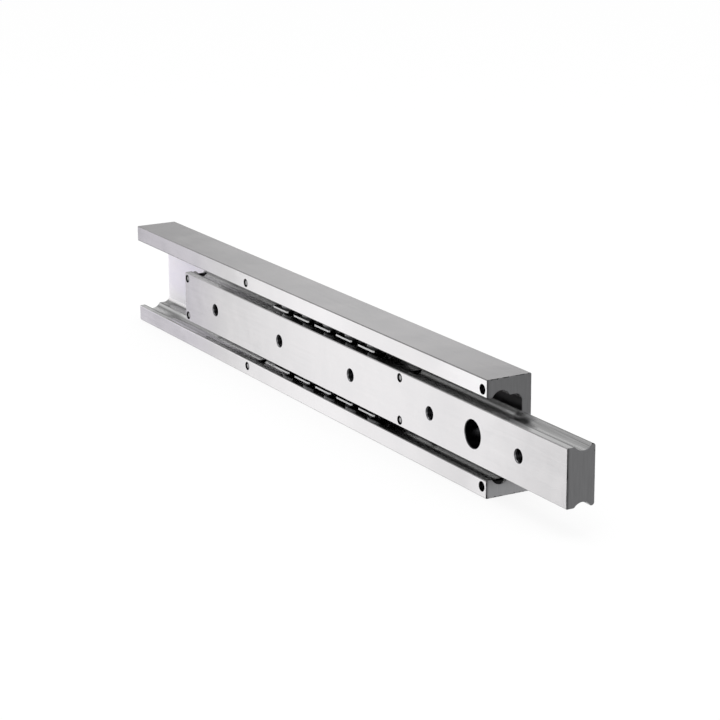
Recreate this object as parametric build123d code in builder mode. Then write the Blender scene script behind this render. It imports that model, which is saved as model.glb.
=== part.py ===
from build123d import *
from math import cos, radians, sin, sqrt
import os

# Telescopic drawer slide: a steel outer rail of C section, a solid steel slider that
# runs out of its front end, and two caged rows of balls between them.
#
# The rails run along X and the slider pulls out towards +X. Y is the depth: the face
# that is screwed to the cabinet lies in the plane Y = 0, and the open side looks
# towards -Y. Z is the height. The middle of the outer rail's back face is the origin.

# Both rails
rail_length = 500.0
hole_pitch = 100.0
hole_count = 5
shown_extension = 85.4

# Outer rail section
outer_height = 75.0
outer_depth = 32.0
lip_thickness = 11.6
web_thickness = 6.5
root_radius = 5.0
outer_edge = 0.5
lip_nose_radius = 0.8

# Slider section
slider_thickness = 19.65
slider_proud = 0.7
slider_ridge_rise = 0.4
slider_back_radius = 1.8
slider_edge = 0.5

# Balls and raceways
ball_diameter = 13.5
ball_pitch = 29.6
ball_count = 5
ball_line_depth = 10.5
lip_to_ball_line = 3.3
slider_to_ball_line = 4.2
ball_sides = 18
running_gap = 0.3
groove_edge = 0.2

# Ball cages
strip_thickness = 1.2
strip_width = 17.4
strip_offset = 0.8
pad_length = 21.3
notch_depth = 4.6
pad_corner = 1.2

# Stop pins
pin_diameter = 6.0
pin_fit = 0.01
outer_pin_length = 22.0
slider_pin_length = 18.0
outer_pin_stand = 1.95
slider_pin_stand = 1.55
mid_pin_behind_middle = 66.0
end_pin_inset = 5.0
pin_recess = 0.4
front_pin_recess = 2.7
front_bore_room = 0.3

# Screw holes
screw_hole = 8.5
countersink = 17.0
thread_core = 8.5
thread_lead_in = 0.4
access_hole = 18.0
access_hole_from_front = 100.0
end_edge = 0.3

# Places that follow from the sizes above
half_length = rail_length / 2
outer_front = -outer_depth
web_face = -web_thickness
lip_face = outer_height / 2 - lip_thickness
ball_line_y = outer_front + ball_line_depth
ball_line_height = lip_face - lip_to_ball_line
ball_radius = ball_diameter / 2
groove_radius = ball_radius + running_gap
slider_front = outer_front - slider_proud
slider_back = slider_front + slider_thickness
slider_middle_y = (slider_front + slider_back) / 2
slider_land = ball_line_height - slider_to_ball_line
slider_ridge = slider_land + slider_ridge_rise
slider_x = shown_extension
pin_radius = pin_diameter / 2
pin_hole_radius = pin_radius + pin_fit
# The pins stand out of the floors of the grooves by a part of their own thickness
outer_pin_height = ball_line_height + groove_radius - outer_pin_stand + pin_radius
slider_pin_height = ball_line_height - groove_radius + slider_pin_stand - pin_radius
# A pin stops the end ball of a row: at the end of its run the ball is still the
# running gap away from the pin. This is how far apart their middles are along X.
stop_distance = ball_radius + pin_radius + running_gap
outer_stop = sqrt(stop_distance**2 - (outer_pin_height - ball_line_height) ** 2)
slider_stop = sqrt(stop_distance**2 - (ball_line_height - slider_pin_height) ** 2)
# Shut, each row is held between an outer and a slider middle pin. Open, it is held
# between a slider rear and an outer front pin. It travels half as far as the slider.
row_length = ball_pitch * (ball_count - 1)
outer_mid_pin_x = -mid_pin_behind_middle
outer_front_pin_x = half_length - end_pin_inset
row_middle_shut = outer_mid_pin_x + outer_stop + row_length / 2
row_middle_open = outer_front_pin_x - outer_stop - row_length / 2
row_travel = row_middle_open - row_middle_shut
slider_mid_pin_x = slider_x + row_middle_shut + row_length / 2 + slider_stop
slider_rear_pin_x = slider_x + row_middle_shut - row_travel - row_length / 2 - slider_stop
row_middle = row_middle_shut + shown_extension / 2
strip_length = row_length + pad_length
strip_height = ball_line_height - strip_offset
notch_width = ball_pitch - pad_length
ball_x = [row_middle - row_length / 2 + ball_pitch * i for i in range(ball_count)]

# Outer rail: a C milled from the solid, with a ball groove in each lip. In the sketches
# of both sections X is the depth and Y the height.
with BuildPart() as outer_rail:
    with BuildSketch(Plane.YZ.offset(-half_length)) as outer_section:
        with Locations((-outer_depth / 2, 0)):
            Rectangle(outer_depth, outer_height)
        chamfer(outer_section.vertices(), length=outer_edge)
        with Locations(((outer_front + web_face) / 2, 0)):
            Rectangle(outer_depth - web_thickness, 2 * lip_face, mode=Mode.SUBTRACT)
        channel = outer_section.vertices().filter_by_position(Axis.Y, -lip_face - 0.1, lip_face + 0.1)
        fillet(channel.sort_by(Axis.X)[-2:], radius=root_radius)
        channel = outer_section.vertices().filter_by_position(Axis.Y, -lip_face - 0.1, lip_face + 0.1)
        fillet(channel.sort_by(Axis.X)[:2], radius=lip_nose_radius)
        with Locations((ball_line_y, ball_line_height), (ball_line_y, -ball_line_height)):
            Circle(groove_radius, mode=Mode.SUBTRACT)
        chamfer(outer_section.vertices(Select.LAST), length=groove_edge)
    extrude(amount=rail_length)
    # Screw holes through the web, countersunk on the channel side
    with Locations(Plane.XZ.offset(-web_face)):
        with GridLocations(hole_pitch, 1, hole_count, 1):
            CounterSinkHole(
                radius=screw_hole / 2,
                counter_sink_radius=countersink / 2,
                depth=web_thickness,
                counter_sink_angle=90,
            )
    # Holes for the stop pins, drilled from the front faces of the lips
    with BuildSketch(Plane.XZ.offset(outer_depth)) as outer_pin_holes:
        with Locations(
            (outer_mid_pin_x, outer_pin_height),
            (outer_mid_pin_x, -outer_pin_height),
            (outer_front_pin_x, outer_pin_height),
            (outer_front_pin_x, -outer_pin_height),
        ):
            Circle(pin_hole_radius)
    extrude(amount=-(front_pin_recess + outer_pin_length), mode=Mode.SUBTRACT)
    # The front pins sit deeper, below the end of a slightly wider bore
    with BuildSketch(Plane.XZ.offset(outer_depth)) as front_pin_bores:
        with Locations(
            (outer_front_pin_x, outer_pin_height), (outer_front_pin_x, -outer_pin_height)
        ):
            Circle(pin_radius + front_bore_room)
    extrude(amount=-front_pin_recess, mode=Mode.SUBTRACT)
    outer_ends = outer_rail.faces().filter_by(Axis.X).sort_by(Axis.X)
    chamfer(outer_ends[0].outer_wire().edges() + outer_ends[-1].outer_wire().edges(), length=end_edge)
outer_rail.part.label = "outer_rail"

# Slider: a solid bar with a ball groove in its top and bottom edge
with BuildPart() as slider_rail:
    with BuildSketch(Plane.YZ.offset(slider_x - half_length)) as slider_section:
        with Locations((slider_middle_y, 0)):
            Rectangle(slider_thickness, 2 * slider_ridge)
        fillet(slider_section.vertices().sort_by(Axis.X)[-2:], radius=slider_back_radius)
        with Locations(((slider_front + ball_line_y) / 2, slider_land + slider_ridge_rise / 2)):
            Rectangle(ball_line_y - slider_front, slider_ridge_rise, mode=Mode.SUBTRACT)
        with Locations(((slider_front + ball_line_y) / 2, -slider_land - slider_ridge_rise / 2)):
            Rectangle(ball_line_y - slider_front, slider_ridge_rise, mode=Mode.SUBTRACT)
        chamfer(slider_section.vertices().sort_by(Axis.X)[:2], length=slider_edge)
        with Locations((ball_line_y, ball_line_height), (ball_line_y, -ball_line_height)):
            Circle(groove_radius, mode=Mode.SUBTRACT)
        chamfer(slider_section.vertices(Select.LAST), length=groove_edge)
    extrude(amount=rail_length)
    # Tapped holes for the load, drawn at their core diameter
    with Locations(Plane.XZ.offset(-slider_front)):
        with Locations((slider_x, 0)):
            with GridLocations(hole_pitch, 1, hole_count, 1):
                CounterSinkHole(
                    radius=thread_core / 2,
                    counter_sink_radius=thread_core / 2 + thread_lead_in,
                    depth=slider_thickness,
                    counter_sink_angle=90,
                )
        # Access hole: the driver reaches the foremost web screw through it
        with Locations((slider_x + half_length - access_hole_from_front, 0)):
            CounterSinkHole(
                radius=access_hole / 2,
                counter_sink_radius=access_hole / 2 + thread_lead_in,
                depth=slider_thickness,
                counter_sink_angle=90,
            )
    with BuildSketch(Plane.XZ.offset(-slider_front)) as slider_pin_holes:
        with Locations(
            (slider_rear_pin_x, slider_pin_height),
            (slider_rear_pin_x, -slider_pin_height),
            (slider_mid_pin_x, slider_pin_height),
            (slider_mid_pin_x, -slider_pin_height),
        ):
            Circle(pin_hole_radius)
    extrude(amount=-slider_thickness, mode=Mode.SUBTRACT)
    slider_ends = slider_rail.faces().filter_by(Axis.X).sort_by(Axis.X)
    chamfer(slider_ends[0].outer_wire().edges() + slider_ends[-1].outer_wire().edges(), length=end_edge)
slider_rail.part.label = "slider_rail"

# Ball cages: a flat steel strip with a hole for each ball, waisted between the balls.
# The strip lies a little nearer the slider than the line of ball centres.
with BuildPart() as upper_cage:
    with BuildSketch(Plane.XY.offset(strip_height - strip_thickness / 2)) as upper_strip:
        with Locations((row_middle, ball_line_y)):
            Rectangle(strip_length, strip_width)
        with Locations(
            (row_middle, ball_line_y + strip_width / 2), (row_middle, ball_line_y - strip_width / 2)
        ):
            with GridLocations(ball_pitch, 1, ball_count - 1, 1):
                Rectangle(notch_width, 2 * notch_depth, mode=Mode.SUBTRACT)
        pads = upper_strip.vertices().group_by(Axis.Y)
        chamfer(pads[0] + pads[-1], length=pad_corner)
        with Locations((row_middle, ball_line_y)):
            with GridLocations(ball_pitch, 1, ball_count, 1):
                Circle(groove_radius, mode=Mode.SUBTRACT)
    extrude(amount=strip_thickness)
upper_cage.part.label = "upper_cage"

with BuildPart() as lower_cage:
    add(upper_cage.part)
    mirror(about=Plane.XY, mode=Mode.REPLACE)
lower_cage.part.label = "lower_cage"

# Stop pins: dowels pressed in from the front, below the front faces. Each stands across
# a groove, a little proud of its floor, where it stops the end ball of the row.
with BuildPart() as outer_pin:
    with BuildSketch(Plane.XZ):
        Circle(pin_radius)
    extrude(amount=-outer_pin_length)

with BuildPart() as slider_pin:
    with BuildSketch(Plane.XZ):
        Circle(pin_radius)
    extrude(amount=-slider_pin_length)

outer_mid_y = outer_front + pin_recess
outer_end_y = outer_front + front_pin_recess
slider_pin_y = slider_front + pin_recess

with BuildPart() as outer_upper_mid_pin:
    with Locations((outer_mid_pin_x, outer_mid_y, outer_pin_height)):
        add(outer_pin.part)
outer_upper_mid_pin.part.label = "outer_upper_mid_pin"

with BuildPart() as outer_lower_mid_pin:
    with Locations((outer_mid_pin_x, outer_mid_y, -outer_pin_height)):
        add(outer_pin.part)
outer_lower_mid_pin.part.label = "outer_lower_mid_pin"

with BuildPart() as outer_upper_front_pin:
    with Locations((outer_front_pin_x, outer_end_y, outer_pin_height)):
        add(outer_pin.part)
outer_upper_front_pin.part.label = "outer_upper_front_pin"

with BuildPart() as outer_lower_front_pin:
    with Locations((outer_front_pin_x, outer_end_y, -outer_pin_height)):
        add(outer_pin.part)
outer_lower_front_pin.part.label = "outer_lower_front_pin"

with BuildPart() as slider_upper_rear_pin:
    with Locations((slider_rear_pin_x, slider_pin_y, slider_pin_height)):
        add(slider_pin.part)
slider_upper_rear_pin.part.label = "slider_upper_rear_pin"

with BuildPart() as slider_lower_rear_pin:
    with Locations((slider_rear_pin_x, slider_pin_y, -slider_pin_height)):
        add(slider_pin.part)
slider_lower_rear_pin.part.label = "slider_lower_rear_pin"

with BuildPart() as slider_upper_mid_pin:
    with Locations((slider_mid_pin_x, slider_pin_y, slider_pin_height)):
        add(slider_pin.part)
slider_upper_mid_pin.part.label = "slider_upper_mid_pin"

with BuildPart() as slider_lower_mid_pin:
    with Locations((slider_mid_pin_x, slider_pin_y, -slider_pin_height)):
        add(slider_pin.part)
slider_lower_mid_pin.part.label = "slider_lower_mid_pin"

# Write one file for each piece
os.makedirs("parts", exist_ok=True)
export_step(outer_rail.part, "parts/outer_rail.step")
export_step(slider_rail.part, "parts/slider_rail.step")
export_step(upper_cage.part, "parts/upper_cage.step")
export_step(lower_cage.part, "parts/lower_cage.step")
export_step(outer_upper_mid_pin.part, "parts/outer_upper_mid_pin.step")
export_step(outer_lower_mid_pin.part, "parts/outer_lower_mid_pin.step")
export_step(outer_upper_front_pin.part, "parts/outer_upper_front_pin.step")
export_step(outer_lower_front_pin.part, "parts/outer_lower_front_pin.step")
export_step(slider_upper_rear_pin.part, "parts/slider_upper_rear_pin.step")
export_step(slider_lower_rear_pin.part, "parts/slider_lower_rear_pin.step")
export_step(slider_upper_mid_pin.part, "parts/slider_upper_mid_pin.step")
export_step(slider_lower_mid_pin.part, "parts/slider_lower_mid_pin.step")

# Ball: flat facets keep the mesh of ten of them light. Every corner lies on the true
# sphere. The rings of corners are stacked along Y, the axis that a ball rolls about.
ring_step = 360 / ball_sides
rings = []
for ring in range(ball_sides // 2):
    latitude = radians(ring_step * (ring + 0.5) - 90)
    turns = [radians(ring_step * side) for side in range(ball_sides)]
    rings.append(
        [
            ball_radius * Vector(cos(latitude) * cos(turn), sin(latitude), cos(latitude) * sin(turn))
            for turn in turns
        ]
    )
facets = [Face(Wire.make_polygon(rings[0])), Face(Wire.make_polygon(rings[-1]))]
for ring, following in zip(rings, rings[1:]):
    for side in range(ball_sides):
        corners = [ring[side - 1], ring[side], following[side], following[side - 1]]
        facets.append(Face(Wire.make_polygon(corners)))
ball = Solid(Shell(facets))

# The balls of each row, numbered from the rear end
for number, x in enumerate(ball_x, start=1):
    with BuildPart() as upper_ball:
        with Locations((x, ball_line_y, ball_line_height)):
            add(ball)
    upper_ball.part.label = f"upper_ball_{number}"
    export_step(upper_ball.part, f"parts/upper_ball_{number}.step")
    with BuildPart() as lower_ball:
        with Locations((x, ball_line_y, -ball_line_height)):
            add(ball)
    lower_ball.part.label = f"lower_ball_{number}"
    export_step(lower_ball.part, f"parts/lower_ball_{number}.step")
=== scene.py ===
import math

import bpy
import numpy as np
from mathutils import Matrix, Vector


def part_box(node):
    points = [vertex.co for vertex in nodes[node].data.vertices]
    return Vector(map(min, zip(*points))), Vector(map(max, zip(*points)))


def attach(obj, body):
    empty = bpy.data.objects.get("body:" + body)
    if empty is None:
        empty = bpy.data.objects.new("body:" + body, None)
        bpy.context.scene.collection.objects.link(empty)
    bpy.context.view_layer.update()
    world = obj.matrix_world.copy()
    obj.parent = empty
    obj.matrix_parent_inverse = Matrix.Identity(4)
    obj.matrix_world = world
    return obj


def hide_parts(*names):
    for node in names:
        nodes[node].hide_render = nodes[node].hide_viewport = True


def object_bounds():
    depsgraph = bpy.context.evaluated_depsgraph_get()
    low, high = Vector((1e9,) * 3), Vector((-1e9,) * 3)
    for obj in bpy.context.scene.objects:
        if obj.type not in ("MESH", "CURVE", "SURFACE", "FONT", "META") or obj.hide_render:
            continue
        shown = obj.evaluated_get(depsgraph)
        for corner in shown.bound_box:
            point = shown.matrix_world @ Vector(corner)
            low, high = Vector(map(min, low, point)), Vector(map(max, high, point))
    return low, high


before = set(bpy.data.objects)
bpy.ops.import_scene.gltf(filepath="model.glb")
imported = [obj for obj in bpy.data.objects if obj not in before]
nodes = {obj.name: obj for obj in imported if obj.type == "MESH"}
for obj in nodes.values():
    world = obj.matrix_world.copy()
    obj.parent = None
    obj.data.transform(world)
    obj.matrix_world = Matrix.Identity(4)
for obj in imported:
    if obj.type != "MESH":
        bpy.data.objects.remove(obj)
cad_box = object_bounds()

# Telescopic drawer slide. Metres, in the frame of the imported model: X is the way the
# slider pulls out, the back face of the outer rail lies in the plane Y = 0 and the open
# side looks towards -Y, Z is up. The origin is the middle of the outer rail's back face.


def middle_of(name):
    """The middle of a node's box."""
    return np.mean(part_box(name), axis=0)


def pin_axis(name):
    """X and Z of a pin's axis, which runs along Y."""
    x, _, z = middle_of(name)
    return x, z


# Places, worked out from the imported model. The line of the balls' centres and the pins lie
# as far below the middle plane as above it.

_, BALL_LINE_Y, BALL_LINE_Z = middle_of("upper_ball_1")
SLIDER_X = middle_of("slider_rail")[0]
OUTER_PINS = [pin_axis("outer_upper_mid_pin"), pin_axis("outer_upper_front_pin")]
SLIDER_PINS = [pin_axis("slider_upper_rear_pin"), pin_axis("slider_upper_mid_pin")]

# Sizes

BALL_RADIUS = 0.00675
BALL_RINGS, BALL_SIDES = 31, 64
GROOVE_RADIUS = 0.00705
HOLE_PITCH = 0.1
THREAD_RADIUS = 0.00425
THREAD_PITCH = 0.0015
# A pin's crown: the radius of each ring of its flat and its depth below the tip, then the
# steps of its rounded rim and how much deeper that goes
CROWN_RINGS = [(0.0005, 0.00001), (0.0010, 0.00004), (0.0014, 0.00009)]
RIM_STEPS, RIM_DROP = 8, 0.0011
PIN_BEVEL = 0.0004
PIN_SIDES = 48
# Room for rounding
HAIR = 0.0001

# Zones of the finishes

# The share of a normal along an axis: of a face that looks along it, of one with a
# broken edge, of a hole's lead-in, and of a face that looks across it
FACING, EDGED, LEAD_IN, SIDEWAYS = 0.9, 0.95, 0.8, 0.6
# How deep the sawn finish of a rail's end goes
END_DEPTH = 0.00035
# The lands lie this near to the height of the ball line, and the holes to Z = 0
LAND_BAND = 0.0052
HOLE_BAND = 0.0096
PIN_HOLE_REACH = 0.0034
# Y of the channel's floor, from and to
CHANNEL_FLOOR = (-0.0075, -0.001)
# Y from which a land lies behind the balls, and from which a groove's rear flank rises
BEHIND_BALLS_Y = -0.0145
REAR_FLANK_Y = -0.0185
# How deep the broken front edge of a lip goes, and the stretch of Z in which that edge
# stays bright: its middle and half its width
NOSE_DEPTH = 0.0009
BRIGHT_NOSE = (0.015, 0.015)
# A painted dark reflection in the slider's groove: X, Y and half its length along both.
# Where the square of the distance, measured in those halves, is 1, it has faded out.
DARK_REFLECTION = (0.2705, -0.0206, 0.0085, 0.0047)
DARK_REFLECTION_FADE = (0.15, 1.0, 0.12, 1.0)
# A darker line along the rims of a groove: its distance from the groove and half its width
RIM_LINE = (0.0006, 0.0004)
# A pad of a cage strip: the share of its edge's normal along Y, and the depth of a pad
PAD_EDGED, PAD_DEPTH = 0.7, 0.001
# The bright end of a pin fades out between these two radii
PIN_END = (0.0011, 0.0017)
# Painted light: the floor of the channel pales towards its roots between these heights
ROOTS = (0.010, 0.022)
# Painted shade: the bright mouth of a bore turns dark between these depths
BORE_MOUTH = (0.0004, 0.0018)
# The front edge of an end is darker: the depths from and to, and the factors at both
FRONT_EDGE_DARKER = (0.0003, 0.0022, 0.5, 1.0)
# Painted light: an end is lighter at the bottom: Z from and to, and the factor at the lower
END_LOW, END_LOW_GAIN = (-0.021, -0.034), 2.0
# Dark patches along the outline of an end: the noise where they begin and where they
# reach deepest, and both depths
EDGE_PATCHES = (0.45, 0.72, 0.0, 0.0012)
# The wall of a tapped hole is looked for this much beyond its radius
THREAD_ROOM = 0.00012
# The height that a bump of 1 stands for, and the bumps of the finishes
BUMP_DEPTH = 0.0001
GRAIN_BUMP, SAW_BUMP, THREAD_BUMP = 0.05, 0.2, 9.0
# What the noises run between: the tone and the streaks of the grinding, and the speckle
# of the black steel and of the balls
TONE_RANGE, STREAK_RANGE, SPECKLE_RANGE = (-0.5, 0.5), (-0.12, 0.12), (0.3, 0.7)
# The saw's marks: how fine they are across, and along
SAW_ACROSS, SAW_ALONG = 900.0, 60.0

# Stretches

# Each is two places, along X if nothing else is said, and the factors of a tone at both.
# Where it has no factors they are 0 and 1.
# Painted light and shade on the outer rail: its top darker towards the front, and its front faces
# and lips lighter or darker by stretches
OUTER_TOP = (0.14, 0.26, 1.0, 0.86)
OUTER_FRONT = [(-0.10, -0.055, 1.0, 1.09), (0.05, 0.11, 1.0, 0.92)]
UPPER_LIP_FRONT = [(0.17, 0.25, 1.0, 1.25)]
LOWER_LIP_FRONT = [(-0.24, -0.21, 1.16, 1.0), (0.15, 0.21, 1.0, 0.94), (0.22, 0.245, 1.0, 1.15)]
# Painted shade on the broken front edges of the lips, which dims their highlight: a factor for the
# upper lip and stretches for the lower
UPPER_NOSE = 0.7
LOWER_NOSE = [(0.0, 0.07, 0.7, 0.48)]
# Painted shade at the slider's rear, and painted light on its front face towards the front
SLIDER_ALL = (-0.16, -0.08, 0.91, 1.0)
SLIDER_FRONT = [(0.21, 0.25, 1.0, 1.08), (0.31, 0.335, 1.0, 1.05)]
# A painted lilac reflection on the front faces towards the rear
LILAC_REFLECTION = (-0.17, -0.09, 1.0, 0.0)
# Painted light and shade along the outer rail's grooves, rear flanks and lands
LOWER_RACE = [(-0.14, -0.115, 1.0, 1.9), (-0.05, 0.0, 1.0, 0.7)]
REAR_FLANK = [(-0.215, -0.195, 1.0, 1.6), (-0.15, -0.12, 1.0, 0.625)]
FRONT_LAND = [(-0.225, -0.215, 1.0, 1.4), (-0.205, -0.195, 1.0, 0.54), (-0.15, -0.13, 1.0, 1.32)]
BACK_LAND = [(-0.243, -0.236, 1.7, 1.0), (-0.21, -0.203, 0.5, 1.0)]
# A painted sheen inside the front end of the upper groove, up to a dark line near that end
UPPER_RACE_END = (0.228, 0.246)
UPPER_RACE_END_LINE = (0.2478, 0.2494)
# Painted shade on the slider's land where the balls run, back to its grey further to the front
SLIDER_LAND_SHADE = [(-0.03, 0.0, 1.0, 0.3), (0.125, 0.15, 1.0, 3.3)]
# Painted shade on the floor of the channel towards the front, where it is also fully metallic: X
# from and to
SHADED_CHANNEL = (0.04, 0.15)
# Painted light, brighter towards the rear end: from the rail's middle towards the rear
REAR_LIGHT = (0.17, 0.25, 1.0, 1.25)
# Along Y: the dry stretch of a groove ends on its rear flank
DRY_ACROSS = (-0.0195, -0.0165, 1.0, 0.0)
# Factors of the grooves' grey that don't change along X: behind the balls, on the rims'
# line, the painted sheen in the front end of the upper groove and the dark line near that
# end, and between and on the streaks
BEHIND_GAIN, RIM_GAIN, INNER_GAIN, END_LINE_GAIN = 1.2, 0.4, 1.9, 0.12
STREAK_GAINS = (0.78, 1.2)
# The factor of that painted shade on the channel's floor
SHADED_CHANNEL_GAIN = 0.10

# Roughness: lowest and highest, or one value for a whole zone
GROUND_ROUGH = (0.18, 0.25)
SHELTERED_ROUGH, CHANNEL_ROUGH, END_ROUGH = 0.22, 0.5, 0.42
CAGE_ROUGH, PIN_ROUGH, BALL_ROUGH = (0.32, 0.5), (0.22, 0.38), (0.05, 0.13)
# How metallic the dry stretch and the floor of the channel are, and how strong the grain
DRY_METAL, CHANNEL_METAL = 0.62, 0.22
GRAIN = 0.8

# What differs between the two rails: the greys of the grooves and of the lands beside
# them, which also paint the shade in the outer rail's channel, the painted light gain of
# the upper part of the sawn ends, the X where the dry rear stretch ends, its painted light
# gain, and how matt it is on the lands and in the grooves
OUTER_RECIPE = {"race": 0.42, "land": 0.52, "sawn": 1.0,
                "dry": (-0.236, -0.212), "dry_light_gain": 1.75, "matt": (0.5, 1.0)}
SLIDER_RECIPE = {"race": 0.84, "land": 0.98, "sawn": 1.16,
                 "dry": (-0.115, -0.10), "dry_light_gain": 1.0, "matt": (1.0, 0.4)}

# Colours

# Pairs are the ends between which a noise wanders
GROUND = (0.715, 0.704, 0.715, 1), (0.89, 0.872, 0.88, 1)
# The tint of that painted lilac reflection
LILAC_REFLECTION_TINT = (1.005, 0.985, 1.045)
MILLED = (0.89, 0.855, 0.97, 1), (0.98, 0.94, 1.0, 1)
# The painted light at the roots of the channel's floor
MILLED_ROOT = (0.99, 0.97, 1.0, 1)
# The ends are sawn and dull; their dark grey is also painted shade
SAWN_AND_SHADED = (0.275, 0.275, 0.282, 1), (0.375, 0.375, 0.382, 1)
EDGE_PATCH = (0.035, 0.035, 0.037, 1)
# Painted shade in the holes: at the mouth, deeper in, and deepest in threads and pin holes
HOLE_MOUTH = (0.25, 0.25, 0.26, 1)
BORE_SHADE = (0.10, 0.10, 0.105, 1)
DEEP_BORE_SHADE = (0.02, 0.02, 0.022, 1)
CAGE_BLACK = (0.010, 0.010, 0.011, 1), (0.028, 0.027, 0.029, 1)
CAGE_BARE = (0.78, 0.78, 0.79, 1), (0.96, 0.96, 0.96, 1)
PIN_BLACK = (0.015, 0.015, 0.016, 1), (0.045, 0.044, 0.046, 1)
PIN_BARE = (0.48, 0.48, 0.49, 1), (0.68, 0.68, 0.69, 1)
# Ball steel, darkened to paint the dark reflection of the cage and grooves around the balls
DARKENED_BALL_STEEL = (0.24, 0.24, 0.25, 1), (0.38, 0.38, 0.39, 1)
STUDIO_FLOOR = (0.90, 0.90, 0.90, 1), (0.93, 0.93, 0.93, 1)
WHITE = (1, 1, 1, 1)

# Studio

# The floor lies a little lower than the rails, so that no two faces share a plane
FLOOR_Z = float(cad_box[0][2]) - 0.0003
FLOOR_HALF = 12.0
# How far what the camera sees of the floor is lifted to white
FLOOR_LIFT = 0.85
# Levels of the room that the steel mirrors: the table, the board on it, the wall behind
# without and above the board, and the ceiling. The horizon is 1.
TABLE_LEVEL, BOARD_LEVEL = 0.34, 1.26
BACK_LEVELS = (0.35, 0.58)
OVERHEAD_LEVEL = 0.32
# Its soft edges, from and to. Sideways they are the sine of a bearing from the X axis: the
# board's outer and inner side, and from the front to the back. Upwards they are the Z of a
# direction: the horizon, and where the walls behind and to the front reach their levels.
BOARD_OUTER, BOARD_INNER = (0.62, 0.515), (0.40, 0.475)
FRONT_TO_BACK = (-0.25, 0.15)
HORIZON, BACK_RISE, FRONT_RISE = (-0.06, 0.01), (0.0, 0.17), (0.30, 0.47)
# Keeps the bearing finite straight up and straight down
LEAST_LEVEL = 0.001


# Node helpers

class Tree:
    """A short way to write a node tree: each call makes a node and links its inputs."""

    def __init__(self, tree):
        self.tree = tree

    def node(self, kind, inputs=(), **settings):
        made = self.tree.nodes.new(kind)
        for key, value in settings.items():
            setattr(made, key, value)
        for key, value in dict(inputs).items():
            self.put(made.inputs[key], value)
        return made

    def put(self, socket, value):
        if isinstance(value, bpy.types.NodeSocket):
            self.tree.links.new(value, socket)
        else:
            socket.default_value = value

    def math(self, operation, a, b=0.0, clamp=False):
        made = self.node("ShaderNodeMath", {0: a, 1: b}, operation=operation, use_clamp=clamp)
        return made.outputs[0]

    def plus(self, a, b):
        return self.math("ADD", a, b)

    def minus(self, a, b):
        return self.math("SUBTRACT", a, b)

    def times(self, first, *others):
        for other in others:
            first = self.math("MULTIPLY", first, other)
        return first

    def less(self, a, b):
        return self.math("LESS_THAN", a, b)

    def more(self, a, b):
        return self.math("GREATER_THAN", a, b)

    def size(self, value):
        return self.math("ABSOLUTE", value)

    def near(self, value, middle, reach):
        """1 where the value is less than the reach away from the middle."""
        return self.less(self.size(self.minus(value, middle)), reach)

    def length(self, a, b):
        """The root of a squared plus b squared."""
        return self.math("SQRT", self.plus(self.times(a, a), self.times(b, b)))

    def split(self, vector):
        return self.node("ShaderNodeSeparateXYZ", {0: vector}).outputs

    def join(self, x, y, z):
        return self.node("ShaderNodeCombineXYZ", {0: x, 1: y, 2: z}).outputs[0]

    def vector(self, operation, a, b):
        return self.node("ShaderNodeVectorMath", {0: a, 1: b}, operation=operation).outputs[0]

    def scale(self, colour, factor):
        made = self.node("ShaderNodeVectorMath", {0: colour, 3: factor}, operation="SCALE")
        return made.outputs[0]

    def ramp(self, value, low, high, to_low=0.0, to_high=1.0, kind="LINEAR"):
        limits = {"From Min": low, "From Max": high, "To Min": to_low, "To Max": to_high}
        made = self.node("ShaderNodeMapRange", {"Value": value, **limits}, interpolation_type=kind)
        return made.outputs["Result"]

    def ease(self, value, *limits):
        """A ramp that starts and ends softly."""
        return self.ramp(value, *limits, kind="SMOOTHSTEP")

    def steps(self, value, stretches):
        """The product of some soft ramps: each is low, high and the values at both."""
        made = 1.0
        for stretch in stretches:
            made = self.times(made, self.ease(value, *stretch))
        return made

    def mix(self, factor, a, b):
        """Colour a, and colour b where the factor is 1."""
        return self.node("ShaderNodeMix", {0: factor, 6: a, 7: b}, data_type="RGBA").outputs[2]

    def blend(self, factor, a, b):
        """Number a, and number b where the factor is 1."""
        return self.node("ShaderNodeMix", {0: factor, 2: a, 3: b}, data_type="FLOAT").outputs[0]

    def noise(self, vector, scale, detail=3.0, roughness=0.5, distortion=0.0):
        made = self.node("ShaderNodeTexNoise", {
            "Vector": vector, "Scale": scale, "Detail": detail, "Roughness": roughness,
            "Distortion": distortion})
        return made.outputs[0]

    def group(self, tree, **inputs):
        made = self.tree.nodes.new("ShaderNodeGroup")
        made.node_tree = tree
        for key, value in inputs.items():
            self.put(made.inputs[key], value)
        return made.outputs

    def place(self):
        return self.node("ShaderNodeTexCoord").outputs["Object"]

    def bump(self, strength, height):
        inputs = {"Strength": strength, "Distance": BUMP_DEPTH, "Height": height}
        return self.node("ShaderNodeBump", inputs).outputs["Normal"]


def new_group(name, inputs, outputs):
    """An empty shader node group: its tree, its input sockets and its output sockets."""
    tree = bpy.data.node_groups.new(name, "ShaderNodeTree")
    for label, value in inputs.items():
        kind = "NodeSocketVector" if value is None else "NodeSocketFloat"
        socket = tree.interface.new_socket(name=label, in_out="INPUT", socket_type=kind)
        if value is not None:
            socket.default_value = value
    for label in outputs:
        tree.interface.new_socket(name=label, in_out="OUTPUT", socket_type="NodeSocketFloat")
    given = tree.nodes.new("NodeGroupInput").outputs
    return Tree(tree), given, tree.nodes.new("NodeGroupOutput").inputs


def new_material(name, metallic, roughness):
    """A material with a Principled shader, its tree and the shader's inputs."""
    made = bpy.data.materials.new(name)
    made.use_nodes = True
    shader = made.node_tree.nodes["Principled BSDF"].inputs
    shader["Metallic"].default_value = metallic
    shader["Roughness"].default_value = roughness
    return made, Tree(made.node_tree), shader


# Shared effects

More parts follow.
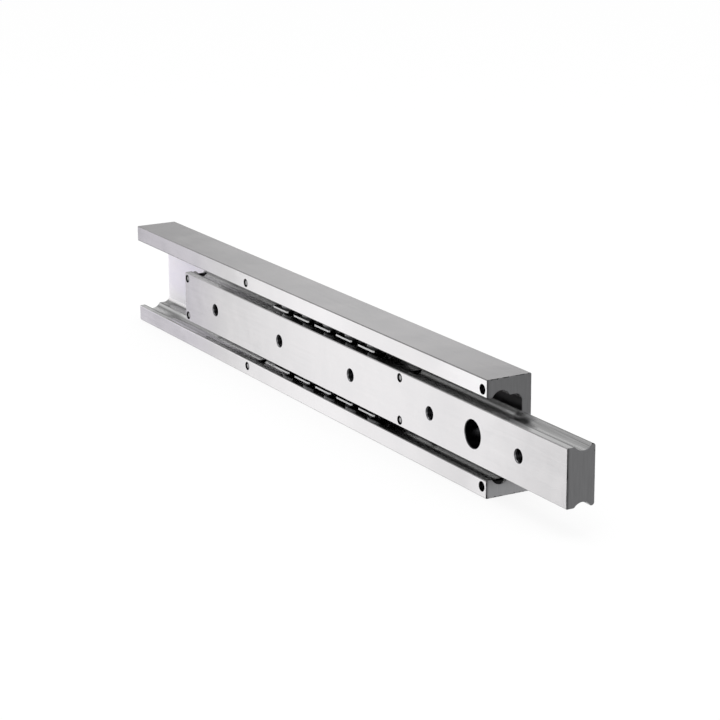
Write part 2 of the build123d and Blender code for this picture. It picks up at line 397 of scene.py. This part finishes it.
def grinding_group():
    """Marks of a grinding wheel that ran along X: streaks, long along X and narrow across,
    at two widths, over broad soft clouds. Tone and Height centre on zero."""
    t, given, out = new_group(
        "grinding marks", {"Place": None, "Streak": 1.0, "Cloud": 1.0}, ["Tone", "Height"])
    x, y, z = t.split(given["Place"])

    def streaks_of(along, across, detail):
        """Noise about zero, with its scales along and across the streaks."""
        stretched = t.join(t.times(x, along), t.times(y, across), t.times(z, across))
        return t.minus(t.noise(stretched, scale=1.0, detail=detail), 0.5)

    fine = streaks_of(along=30.0, across=3000.0, detail=2.0)
    wide = streaks_of(along=9.0, across=420.0, detail=3.0)
    streaks = t.times(t.plus(fine, wide), given["Streak"])
    cloud = t.noise(given["Place"], scale=38.0, detail=4.0, roughness=0.55, distortion=0.4)
    cloud = t.minus(cloud, 0.5)
    t.put(out["Tone"], t.plus(streaks, t.times(cloud, given["Cloud"])))
    t.put(out["Height"], streaks)
    return t.tree


def thread_group():
    """A screw thread inside holes along Y that stand in a row along X: the height of a
    ridge that climbs by one pitch for each turn about the hole's middle, and a mask of
    the wall of each hole. First is the X of one hole of the row."""
    t, given, out = new_group(
        "row of threads",
        {"Place": None, "First": 0.0, "Radius": THREAD_RADIUS, "Pitch": THREAD_PITCH},
        ["Mask", "Height"])
    x, y, z = t.split(given["Place"])
    holes = t.math("DIVIDE", t.minus(x, given["First"]), HOLE_PITCH)
    beside = t.times(t.minus(holes, t.math("ROUND", holes)), HOLE_PITCH)
    turn = t.math("DIVIDE", t.math("ARCTAN2", z, beside), 2 * math.pi)
    climb = t.plus(t.math("DIVIDE", y, given["Pitch"]), turn)
    t.put(out["Height"], t.math("PINGPONG", climb, 0.5))
    t.put(out["Mask"], t.less(t.length(beside, z), t.plus(given["Radius"], THREAD_ROOM)))
    return t.tree


def axis_group():
    """How far a place is from an axis along Y that stands at X and, above or below the
    middle plane, at Z."""
    t, given, out = new_group(
        "distance from a hole's axis", {"Place": None, "X": 0.0, "Z": 0.0}, ["Distance"])
    x, _, z = t.split(given["Place"])
    sideways = t.minus(x, given["X"])
    t.put(out["Distance"], t.length(sideways, t.minus(t.size(z), given["Z"])))
    return t.tree


GRINDING = grinding_group()
THREADS = thread_group()
AXIS = axis_group()


def nearest_axis(t, place, axes):
    """The distance to the nearest of some pin axes."""
    reach = None
    for x, z in axes:
        one = t.group(AXIS, Place=place, X=x, Z=z)["Distance"]
        reach = one if reach is None else t.math("MINIMUM", reach, one)
    return reach


# Ground steel of the rails

class Rail:
    """What the finishes of a rail ask of a place. A mask is 1 on its own surface."""

    def __init__(self, t, box, pin_axes, threads):
        low, high = np.asarray(box)
        middle, half_length = (low[0] + high[0]) / 2, (high[0] - low[0]) / 2
        self.t = t
        self.place = t.place()
        self.x, self.y, self.z = t.split(self.place)
        self.normal = t.node("ShaderNodeNewGeometry").outputs["True Normal"]
        _, normal_y, normal_z = t.split(self.normal)
        self.away = t.size(self.z)
        self.flat = t.size(normal_y)
        self.front_face = t.less(normal_y, -FACING)
        self.top_face = t.more(normal_z, FACING)
        self.depth = t.minus(self.y, low[1])
        self.behind = t.minus(middle, self.x)
        self.end = t.more(t.size(t.minus(self.x, middle)), half_length - END_DEPTH)
        self.bulk = t.minus(1.0, self.end)
        # The grooves and the lands beside them, on the channel side of the lips and on
        # the top and bottom of the slider
        rise = t.minus(self.away, BALL_LINE_Z)
        self.from_line = t.length(t.minus(self.y, BALL_LINE_Y), rise)
        self.groove = t.times(t.less(self.from_line, GROOVE_RADIUS + HAIR), self.bulk)
        level = t.times(t.less(self.flat, SIDEWAYS), self.bulk)
        land = t.times(level, t.less(t.size(rise), LAND_BAND))
        self.sheltered = t.math("MAXIMUM", self.groove, land)
        self.behind_balls = t.more(self.y, BEHIND_BALLS_Y)
        # The floor of the outer rail's channel
        self.channel = t.times(
            t.more(self.flat, FACING), t.more(self.y, CHANNEL_FLOOR[0]),
            t.less(self.y, CHANNEL_FLOOR[1]))
        # Walls of the screw holes, which stand round the middle line, and of the pin holes
        mouth = t.times(t.less(self.flat, LEAD_IN if threads else SIDEWAYS), self.bulk)
        self.screw_hole = t.times(mouth, t.less(self.away, HOLE_BAND))
        self.pin_hole = t.times(
            t.less(nearest_axis(t, self.place, pin_axes), PIN_HOLE_REACH), level)
        self.wall = t.math("MAXIMUM", self.screw_hole, self.pin_hole)
        # How far a place lies inside the outline of an end
        sides = t.math("MINIMUM", t.minus(high[2], self.away), self.depth)
        self.rind = t.math("MINIMUM", sides, t.minus(high[1], self.y))


def outer_ground_gain(rail):
    """Painted light and shade on the outer rail: its top darker towards the front, the broken
    edges along the front of its lips darker, and its front faces lighter or darker by stretches."""
    t, x, z = rail.t, rail.x, rail.z
    top = t.blend(rail.top_face, 1.0, t.ease(x, *OUTER_TOP))
    nose = t.times(
        t.less(rail.flat, EDGED), t.less(rail.depth, NOSE_DEPTH),
        t.more(t.size(t.minus(z, BRIGHT_NOSE[0])), BRIGHT_NOSE[1]))
    # Painted shade that dims the highlight on the broken edges
    nose_shade = t.blend(t.less(z, 0.0), UPPER_NOSE, t.steps(x, LOWER_NOSE))
    lips = t.blend(t.more(z, 0.0), t.steps(x, LOWER_LIP_FRONT), t.steps(x, UPPER_LIP_FRONT))
    front = t.blend(rail.front_face, 1.0, t.times(t.steps(x, OUTER_FRONT), lips))
    return t.times(top, t.blend(nose, 1.0, nose_shade), front)


def slider_ground_gain(rail):
    """Painted shade and light: the slider is a little darker at the rear, and its front face
    brighter at the front.
    """
    t, x = rail.t, rail.x
    front = t.blend(rail.front_face, 1.0, t.steps(x, SLIDER_FRONT))
    return t.times(t.ease(x, *SLIDER_ALL), front)


def outer_film_shading(rail):
    """Painted light and shade in the grooves and on the lands of the outer rail."""
    t, x, z = rail.t, rail.x, rail.z
    race = t.blend(t.less(z, 0.0), 1.0, t.steps(x, LOWER_RACE))
    race = t.blend(t.more(rail.y, REAR_FLANK_Y), race, t.steps(x, REAR_FLANK))
    land = t.blend(rail.behind_balls, t.steps(x, FRONT_LAND), t.steps(x, BACK_LAND))
    # The front end of the upper groove has a painted sheen inside, up to a dark line near the end
    inner = t.times(t.more(z, 0.0), t.ease(x, *UPPER_RACE_END))
    end_line = t.times(inner, t.ease(x, *UPPER_RACE_END_LINE))
    return t.times(
        t.blend(rail.groove, land, race), t.blend(inner, 1.0, INNER_GAIN),
        t.blend(end_line, 1.0, END_LINE_GAIN))


def slider_film_shading(rail):
    """Painted shade: where the balls run, the slider's land is darkened nearly to black. A
    painted dark reflection lies in its groove further to the front: an ellipse that fades out to
    its outline."""
    t, x = rail.t, rail.x
    reflection_x, reflection_y, half_length, half_width = DARK_REFLECTION
    land_shade = t.blend(rail.groove, t.steps(x, SLIDER_LAND_SHADE), 1.0)
    along = t.times(t.minus(x, reflection_x), 1 / half_length)
    across = t.times(t.minus(rail.y, reflection_y), 1 / half_width)
    reflection_reach = t.plus(t.times(along, along), t.times(across, across))
    return t.times(land_shade, t.ease(reflection_reach, *DARK_REFLECTION_FADE))


def ground_colour(rail, tone, gain):
    """Bright steel, cloudy and streaked, with a painted lilac reflection on the front faces
    towards the rear. No part of it is paler than white."""
    t = rail.t
    colour = t.scale(t.mix(tone, *GROUND), gain)
    lilac_reflection = t.times(rail.front_face, t.ease(rail.x, *LILAC_REFLECTION))
    colour = t.mix(lilac_reflection, colour, t.vector("MULTIPLY", colour, LILAC_REFLECTION_TINT))
    return t.vector("MINIMUM", colour, WHITE[:3])


def milled_colour(rail, tone, channel_shade):
    """The pale floor of the channel, with painted light that makes it paler towards its roots, and
    painted shade that makes it dark towards the front.
    """
    t = rail.t
    colour = t.mix(t.ease(rail.away, *ROOTS), t.mix(tone, *MILLED), MILLED_ROOT)
    return t.scale(colour, t.blend(channel_shade, 1.0, SHADED_CHANNEL_GAIN))


def film_and_shade_colour(rail, streaky, recipe, gain, matt):
    """The grey of the grooves and the lands under a film of oil, which also paints their shade.
    Painted light makes it brighter towards the rear and on the dry rear end, and it is
    darker along both rims of a groove."""
    t = rail.t
    land = t.blend(rail.behind_balls, recipe["land"], recipe["land"] * BEHIND_GAIN)
    film_and_shade = t.times(
        t.blend(rail.groove, land, recipe["race"]), t.ease(rail.behind, *REAR_LIGHT), gain,
        t.blend(matt, 1.0, recipe["dry_light_gain"]))
    film_and_shade = t.math("MULTIPLY", film_and_shade, t.blend(streaky, *STREAK_GAINS), clamp=True)
    rim = t.near(rail.from_line, GROOVE_RADIUS + RIM_LINE[0], RIM_LINE[1])
    film_and_shade = t.times(film_and_shade, t.blend(rim, 1.0, RIM_GAIN))
    return t.join(film_and_shade, film_and_shade, film_and_shade)


def sawn_and_shaded_colour(rail, saw, upper_gain):
    """The sawn, dull ends, whose dark grey is also painted shade. Painted light makes them
    lighter at the bottom, and upper_gain lifts their upper part. They are darker along the
    front edge and have small dark patches along their outline."""
    t = rail.t
    low_light = t.ease(rail.z, *END_LOW, upper_gain, END_LOW_GAIN)
    colour = t.scale(t.mix(saw, *SAWN_AND_SHADED), t.times(low_light, t.ease(rail.depth, *FRONT_EDGE_DARKER)))
    ragged = t.noise(rail.place, scale=170.0, detail=3.0, roughness=0.6)
    edge_patch = t.less(rail.rind, t.ramp(ragged, *EDGE_PATCHES))
    return t.mix(edge_patch, colour, EDGE_PATCH)


def bore_colour(rail, threaded):
    """Painted shade on the walls of the holes, dark inside. Threads and pin holes are the darkest.
    """
    t = rail.t
    deep = t.mix(t.math("MAXIMUM", rail.pin_hole, threaded), BORE_SHADE, DEEP_BORE_SHADE)
    inside = t.blend(rail.pin_hole, t.ease(rail.depth, *BORE_MOUTH), 1.0)
    return t.mix(inside, HOLE_MOUTH, deep)


def rail_material(name, box, pin_axes, recipe, ground_gain, film_shading, threads):
    """Ground bright steel with its grain along X, with painted light and shade along it. The
    ends are sawn and dull, and their dark grey is also painted shade. The ball grooves and the
    lands beside them are darker and smoother, under a film of oil, their greys also painted
    shade, with painted light towards the rear. The walls of the holes are dark with painted
    shade. The floor of the channel is milled, matt and pale, with painted light at its roots
    and painted shade towards the front. Box is the rail's own, pin_axes are the X and Z of its
    pins, and the two gains are functions of a Rail."""
    made, t, shader = new_material(name, metallic=1.0, roughness=0.3)
    rail = Rail(t, box, pin_axes, threads)
    thread = t.group(
        THREADS, Place=rail.place, First=SLIDER_X, Radius=THREAD_RADIUS, Pitch=THREAD_PITCH)
    marks = t.group(GRINDING, Place=rail.place, Streak=0.5, Cloud=1.5)
    tone = t.ramp(marks["Tone"], *TONE_RANGE)
    streaky = t.ramp(marks["Height"], *STREAK_RANGE)
    # The saw's marks on the ends run along Z
    sawn = t.join(t.times(rail.y, SAW_ACROSS), t.times(rail.z, SAW_ALONG), 0.0)
    saw = t.noise(sawn, scale=1.0)
    channel_shade = t.ease(rail.x, *SHADED_CHANNEL)
    matt = t.times(
        rail.sheltered, t.blend(rail.groove, *recipe["matt"]),
        t.ease(rail.x, *recipe["dry"], 1.0, 0.0), t.ease(rail.y, *DRY_ACROSS))

    colour = ground_colour(rail, tone, ground_gain(rail))
    film_and_shade = film_and_shade_colour(rail, streaky, recipe, film_shading(rail), matt)
    colour = t.mix(rail.sheltered, colour, film_and_shade)
    colour = t.mix(rail.channel, colour, milled_colour(rail, tone, channel_shade))
    colour = t.mix(rail.end, colour, sawn_and_shaded_colour(rail, saw, recipe["sawn"]))
    colour = t.mix(rail.wall, colour, bore_colour(rail, thread["Mask"]))

    rough = t.ramp(tone, 0.0, 1.0, *GROUND_ROUGH)
    rough = t.blend(rail.sheltered, rough, SHELTERED_ROUGH)
    rough = t.blend(rail.channel, rough, CHANNEL_ROUGH)
    rough = t.blend(rail.end, rough, END_ROUGH)

    grain, sawing = t.times(marks["Height"], GRAIN_BUMP), t.times(t.minus(saw, 0.5), SAW_BUMP)
    height = t.blend(rail.end, grain, sawing)
    if threads:
        height = t.blend(thread["Mask"], height, t.times(thread["Height"], THREAD_BUMP))

    dry_metal, milled_metal = t.blend(matt, 1.0, DRY_METAL), t.blend(channel_shade, CHANNEL_METAL, 1.0)
    metallic = t.blend(rail.channel, dry_metal, milled_metal)
    grained = t.math("MULTIPLY", t.minus(rail.bulk, rail.screw_hole), GRAIN, clamp=True)
    t.put(shader["Base Color"], colour)
    t.put(shader["Metallic"], metallic)
    t.put(shader["Roughness"], rough)
    t.put(shader["Anisotropic"], grained)
    t.put(shader["Tangent"], t.vector("CROSS_PRODUCT", rail.normal, (1.0, 0.0, 0.0)))
    t.put(shader["Normal"], t.bump(1.0, height))
    return made


# Cages, pins and balls

def blackened_material(name, bare_mask, black, bare, rough, metallic, roughness, speckle_scale,
                       strength):
    """Blackened steel, ground bare where the mask is 1. Bare_mask is a function of the
    tree, the place and how far the normal points along Y. Black and bare are pairs of
    colours, rough is the lowest and highest roughness, and strength that of the bump."""
    made, t, shader = new_material(name, metallic, roughness)
    place = t.place()
    normal = t.split(t.node("ShaderNodeNewGeometry").outputs["Normal"])
    mask = bare_mask(t, place, t.size(normal[1]))
    speckle = t.noise(place, speckle_scale)
    t.put(shader["Base Color"], t.mix(mask, t.mix(speckle, *black), t.mix(speckle, *bare)))
    t.put(shader["Roughness"], t.ramp(speckle, *SPECKLE_RANGE, *rough))
    t.put(shader["Normal"], t.bump(strength, speckle))
    return made


def cage_material(box):
    """Blackened steel strip. The front and back edges of its pads are ground bare and
    bright, and the edges of its waists are black. Box is a strip's own."""
    low, high = box[0].y, box[1].y

    def pad_edge(t, place, facing):
        from_middle = t.size(t.minus(t.split(place)[1], (low + high) / 2))
        pad = t.more(from_middle, (high - low) / 2 - PAD_DEPTH)
        return t.times(t.more(facing, PAD_EDGED), pad)

    return blackened_material(
        "blackened cage strip", pad_edge, CAGE_BLACK, CAGE_BARE, CAGE_ROUGH, metallic=0.9,
        roughness=0.42, speckle_scale=900.0, strength=0.15)


def pin_material():
    """Blackened dowel. Its end is ground bright and has a dark rounded rim."""

    def ground_end(t, place, facing):
        reach = nearest_axis(t, place, OUTER_PINS + SLIDER_PINS)
        return t.times(t.more(facing, FACING), t.ease(reach, *PIN_END, 1.0, 0.0))

    return blackened_material(
        "blackened pin with ground ends", ground_end, PIN_BLACK, PIN_BARE, PIN_ROUGH,
        metallic=1.0, roughness=0.3, speckle_scale=1400.0, strength=0.12)


def ball_material():
    """Polished hardened steel under a film of oil, darkened to paint the dark reflection of the
    cage and grooves around the balls.
    """
    made, t, shader = new_material("polished ball steel", metallic=1.0, roughness=0.06)
    film_and_shade = t.noise(t.place(), scale=260.0, detail=4.0, roughness=0.6, distortion=0.8)
    t.put(shader["Base Color"], t.mix(film_and_shade, *DARKENED_BALL_STEEL))
    t.put(shader["Roughness"], t.ramp(film_and_shade, *SPECKLE_RANGE, *BALL_ROUGH))
    return made


def turned_points(x, z, along, radii, turns):
    """Rings about an axis along Y at x and z: ring j stands at Y = along[j], and its point
    at the turn v is (x + radii[j] cos v, along[j], z + radii[j] sin v)."""
    radii = np.asarray(radii)[:, None]
    y = np.repeat(np.asarray(along)[:, None], len(turns), axis=1)
    rings = [x + radii * np.cos(turns), y, z + radii * np.sin(turns)]
    return np.stack(rings, axis=-1).reshape(-1, 3)


def closed_faces(rings, sides):
    """Faces of a surface of rings stacked along +Y, closed by one vertex at each end. The
    end vertices come after the rings, the low one first."""
    ring = np.arange(rings - 1)[:, None] * sides
    side = np.arange(sides)[None, :]
    after = (side + 1) % sides
    corners = [ring + side, ring + sides + side, ring + sides + after, ring + after]
    quads = np.stack(corners, axis=-1).reshape(-1, 4)
    side, after = side[0], after[0]
    last, low = (rings - 1) * sides, rings * sides
    south = np.stack([np.full(sides, low), side, after], axis=-1)
    north = np.stack([np.full(sides, low + 1), last + after, last + side], axis=-1)
    return quads, south, north


def full_turn(sides):
    return np.linspace(0.0, 2 * math.pi, sides, endpoint=False)


def ball_surface(name):
    """The sphere in the middle of a node's box: for latitude u and turn v a point is the
    middle plus the radius times (cos u cos v, sin u, cos u sin v). One vertex stands at
    each pole."""
    x, y, z = middle_of(name)
    u = np.linspace(-math.pi / 2, math.pi / 2, BALL_RINGS + 2)[1:-1]
    along, radii = y + BALL_RADIUS * np.sin(u), BALL_RADIUS * np.cos(u)
    poles = [[x, y - BALL_RADIUS, z], [x, y + BALL_RADIUS, z]]
    rings = turned_points(x, z, along, radii, full_turn(BALL_SIDES))
    return np.vstack([rings, poles]), *closed_faces(BALL_RINGS, BALL_SIDES)


def pin_surface(name):
    """A dowel along Y that fills a node's box, turned. The front end is a low crown, whose
    flat falls a little from its tip to its last ring. From there the rim follows a quarter
    turn u: the radius grows by the room left times sin u, and the depth by the drop times
    (1 - cos u). The rear end has a small bevel."""
    low, high = np.asarray(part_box(name))
    length, radius = high[1] - low[1], (high[0] - low[0]) / 2
    u = np.linspace(0.0, math.pi / 2, RIM_STEPS + 1)[1:]
    flat_radii, flat_depth = np.transpose(CROWN_RINGS)
    rim_radii = flat_radii[-1] + (radius - flat_radii[-1]) * np.sin(u)
    rim_depth = flat_depth[-1] + RIM_DROP * (1 - np.cos(u))
    radii = np.concatenate([flat_radii, rim_radii, [radius, radius - PIN_BEVEL]])
    along = low[1] + np.concatenate([flat_depth, rim_depth, [length - PIN_BEVEL, length]])
    x, z = pin_axis(name)
    ends = [[x, low[1], z], [x, high[1], z]]
    rings = turned_points(x, z, along, radii, full_turn(PIN_SIDES))
    return np.vstack([rings, ends]), *closed_faces(len(radii), PIN_SIDES)


def put_material(obj, material):
    obj.data.materials.clear()
    obj.data.materials.append(material)


def new_piece(name, surface, material, body):
    """A smooth piece from its points and faces, on its body and in its slot."""
    points, *faces = surface
    mesh = bpy.data.meshes.new(name)
    mesh.from_pydata(points.tolist(), [], [face for group in faces for face in group.tolist()])
    mesh.polygons.foreach_set("use_smooth", np.ones(len(mesh.polygons), dtype=bool))
    mesh.materials.append(material)
    mesh.update()
    piece = bpy.data.objects.new(name, mesh)
    bpy.context.scene.collection.objects.link(piece)
    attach(piece, body)
    return piece


# Dress the nodes

outer_steel = rail_material(
    "ground outer rail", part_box("outer_rail"), OUTER_PINS, OUTER_RECIPE, outer_ground_gain,
    outer_film_shading, threads=False)
slider_steel = rail_material(
    "ground slider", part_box("slider_rail"), SLIDER_PINS, SLIDER_RECIPE, slider_ground_gain,
    slider_film_shading, threads=True)
black_strip = cage_material(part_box("upper_cage"))
black_pin = pin_material()
ball_steel = ball_material()

for name, node in nodes.items():
    if name == "outer_rail":
        put_material(node, outer_steel)
    elif name == "slider_rail":
        put_material(node, slider_steel)
    elif name.endswith("_cage"):
        put_material(node, black_strip)
    elif name.endswith("_pin"):
        put_material(node, black_pin)
        body = name.split("_")[0]
        pin = new_piece(name + "_crowned", pin_surface(name), black_pin, body)
        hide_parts(name)
    elif "_ball_" in name:
        ball = new_piece(name + "_polished", ball_surface(name), ball_steel, name)
        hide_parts(name)


# Floor, light, camera

def seen_or_mirrored(t):
    """Whether a ray comes from the camera, and whether from a mirror or through glass."""
    path = t.node("ShaderNodeLightPath").outputs
    return path["Is Camera Ray"], t.plus(path["Is Glossy Ray"], path["Is Transmission Ray"])


def floor_material():
    """Pale floor. What the camera sees of it is lifted to white, and a part of its own
    light stays, which keeps the object's shadow. From below it is clear, so that it never
    hides the rails."""
    made = bpy.data.materials.new("pale floor")
    made.use_nodes = True
    t = Tree(made.node_tree)
    made.node_tree.nodes.remove(made.node_tree.nodes["Principled BSDF"])
    seen = t.math("MINIMUM", t.plus(*seen_or_mirrored(t)), 1.0)
    pale = t.mix(t.noise(t.place(), scale=3.0, detail=2.0), *STUDIO_FLOOR)
    plain = t.node("ShaderNodeBsdfDiffuse", {"Color": pale}).outputs[0]
    white = t.node("ShaderNodeEmission", {"Color": WHITE, "Strength": 1.0}).outputs[0]
    lifted = t.times(seen, FLOOR_LIFT)
    above = t.node("ShaderNodeMixShader", {0: lifted, 1: plain, 2: white})
    clear = t.node("ShaderNodeBsdfTransparent").outputs[0]
    below = t.node("ShaderNodeNewGeometry").outputs["Backfacing"]
    both = t.node("ShaderNodeMixShader", {0: below, 1: above.outputs[0], 2: clear})
    t.put(made.node_tree.nodes["Material Output"].inputs["Surface"], both.outputs[0])
    return made


def make_floor():
    mesh = bpy.data.meshes.new("studio_floor")
    sides = [(-1, -1), (1, -1), (1, 1), (-1, 1)]
    corners = [(x * FLOOR_HALF, y * FLOOR_HALF, FLOOR_Z) for x, y in sides]
    mesh.from_pydata(corners, [], [(0, 1, 2, 3)])
    mesh.materials.append(floor_material())
    floor = bpy.data.objects.new("studio_floor", mesh)
    floor.visible_glossy = False
    bpy.context.scene.collection.objects.link(floor)


def make_world():
    """The room that the steel mirrors. Low down it is a pale table with a bright board to
    the front left. Above the horizon it is white to the front, and soft grey behind and
    overhead. The camera sees white all round."""
    world = bpy.data.worlds.new("studio room")
    bpy.context.scene.world = world
    world.use_nodes = True
    t = Tree(world.node_tree)
    seen, mirrored = seen_or_mirrored(t)
    x, y, z = t.split(t.node("ShaderNodeTexCoord").outputs["Generated"])
    bearing = t.math("DIVIDE", y, t.math("MAXIMUM", t.length(x, y), LEAST_LEVEL))
    aside = t.size(bearing)
    board = t.times(t.ease(aside, *BOARD_OUTER), t.ease(aside, *BOARD_INNER), t.less(x, 0.0))
    table = t.blend(board, TABLE_LEVEL, BOARD_LEVEL)
    back_wall = t.ease(z, *BACK_RISE, 1.0, t.blend(board, *BACK_LEVELS))
    front_wall = t.ease(z, *FRONT_RISE, 1.0, OVERHEAD_LEVEL)
    room = t.blend(t.ease(bearing, *FRONT_TO_BACK), front_wall, back_wall)
    mirror = t.blend(t.ease(z, *HORIZON), table, room)
    level = t.blend(seen, t.blend(mirrored, 1.0, mirror), 1.0)
    background = world.node_tree.nodes["Background"].inputs
    t.put(background["Color"], t.join(level, level, level))
    background["Strength"].default_value = 1.0


def stand_at(obj, right, up, back, place):
    """Stands an object at a place, with its own X, Y and Z along right, up and back."""
    rows = [[right[i], up[i], back[i], place[i]] for i in range(3)]
    obj.matrix_world = Matrix(rows + [[0, 0, 0, 1]])


def make_lamp(name, place, target, width, height, power):
    """A rectangular area lamp at a place that looks at a target."""
    lamp = bpy.data.lights.new(name, "AREA")
    lamp.shape = "RECTANGLE"
    lamp.size = width
    lamp.size_y = height
    lamp.energy = power
    obj = bpy.data.objects.new(name, lamp)
    bpy.context.scene.collection.objects.link(obj)
    back = np.array(place, float) - np.array(target, float)
    back /= np.linalg.norm(back)
    right = np.cross((0.0, 0.0, 1.0), back)
    right /= np.linalg.norm(right)
    stand_at(obj, right, np.cross(back, right), back, place)


def make_camera():
    """The photograph's view, as it was fitted to the rails' edges, holes and pins."""
    lens = bpy.data.cameras.new("photograph_view")
    lens.sensor_width = 36.0
    lens.lens = 115.5785
    lens.clip_start = 0.05
    lens.clip_end = 50.0
    camera = bpy.data.objects.new("photograph_view", lens)
    bpy.context.scene.collection.objects.link(camera)
    stand_at(
        camera,
        right=(0.49758627, 0.86739214, -0.00622704),
        up=(-0.23254237, 0.14030894, 0.96241231),
        back=(0.83566258, -0.4774351, 0.27152122),
        place=(1.36171, -0.75436, 0.42403))
    bpy.context.scene.camera = camera


make_floor()
make_world()
make_lamp(
    "overhead_softbox", place=(0.1, -0.2, 1.6), target=(0.05, 0.0, 0.0), width=1.6, height=1.2,
    power=9.0)
make_camera()
bpy.context.scene.view_settings.view_transform = "Standard"
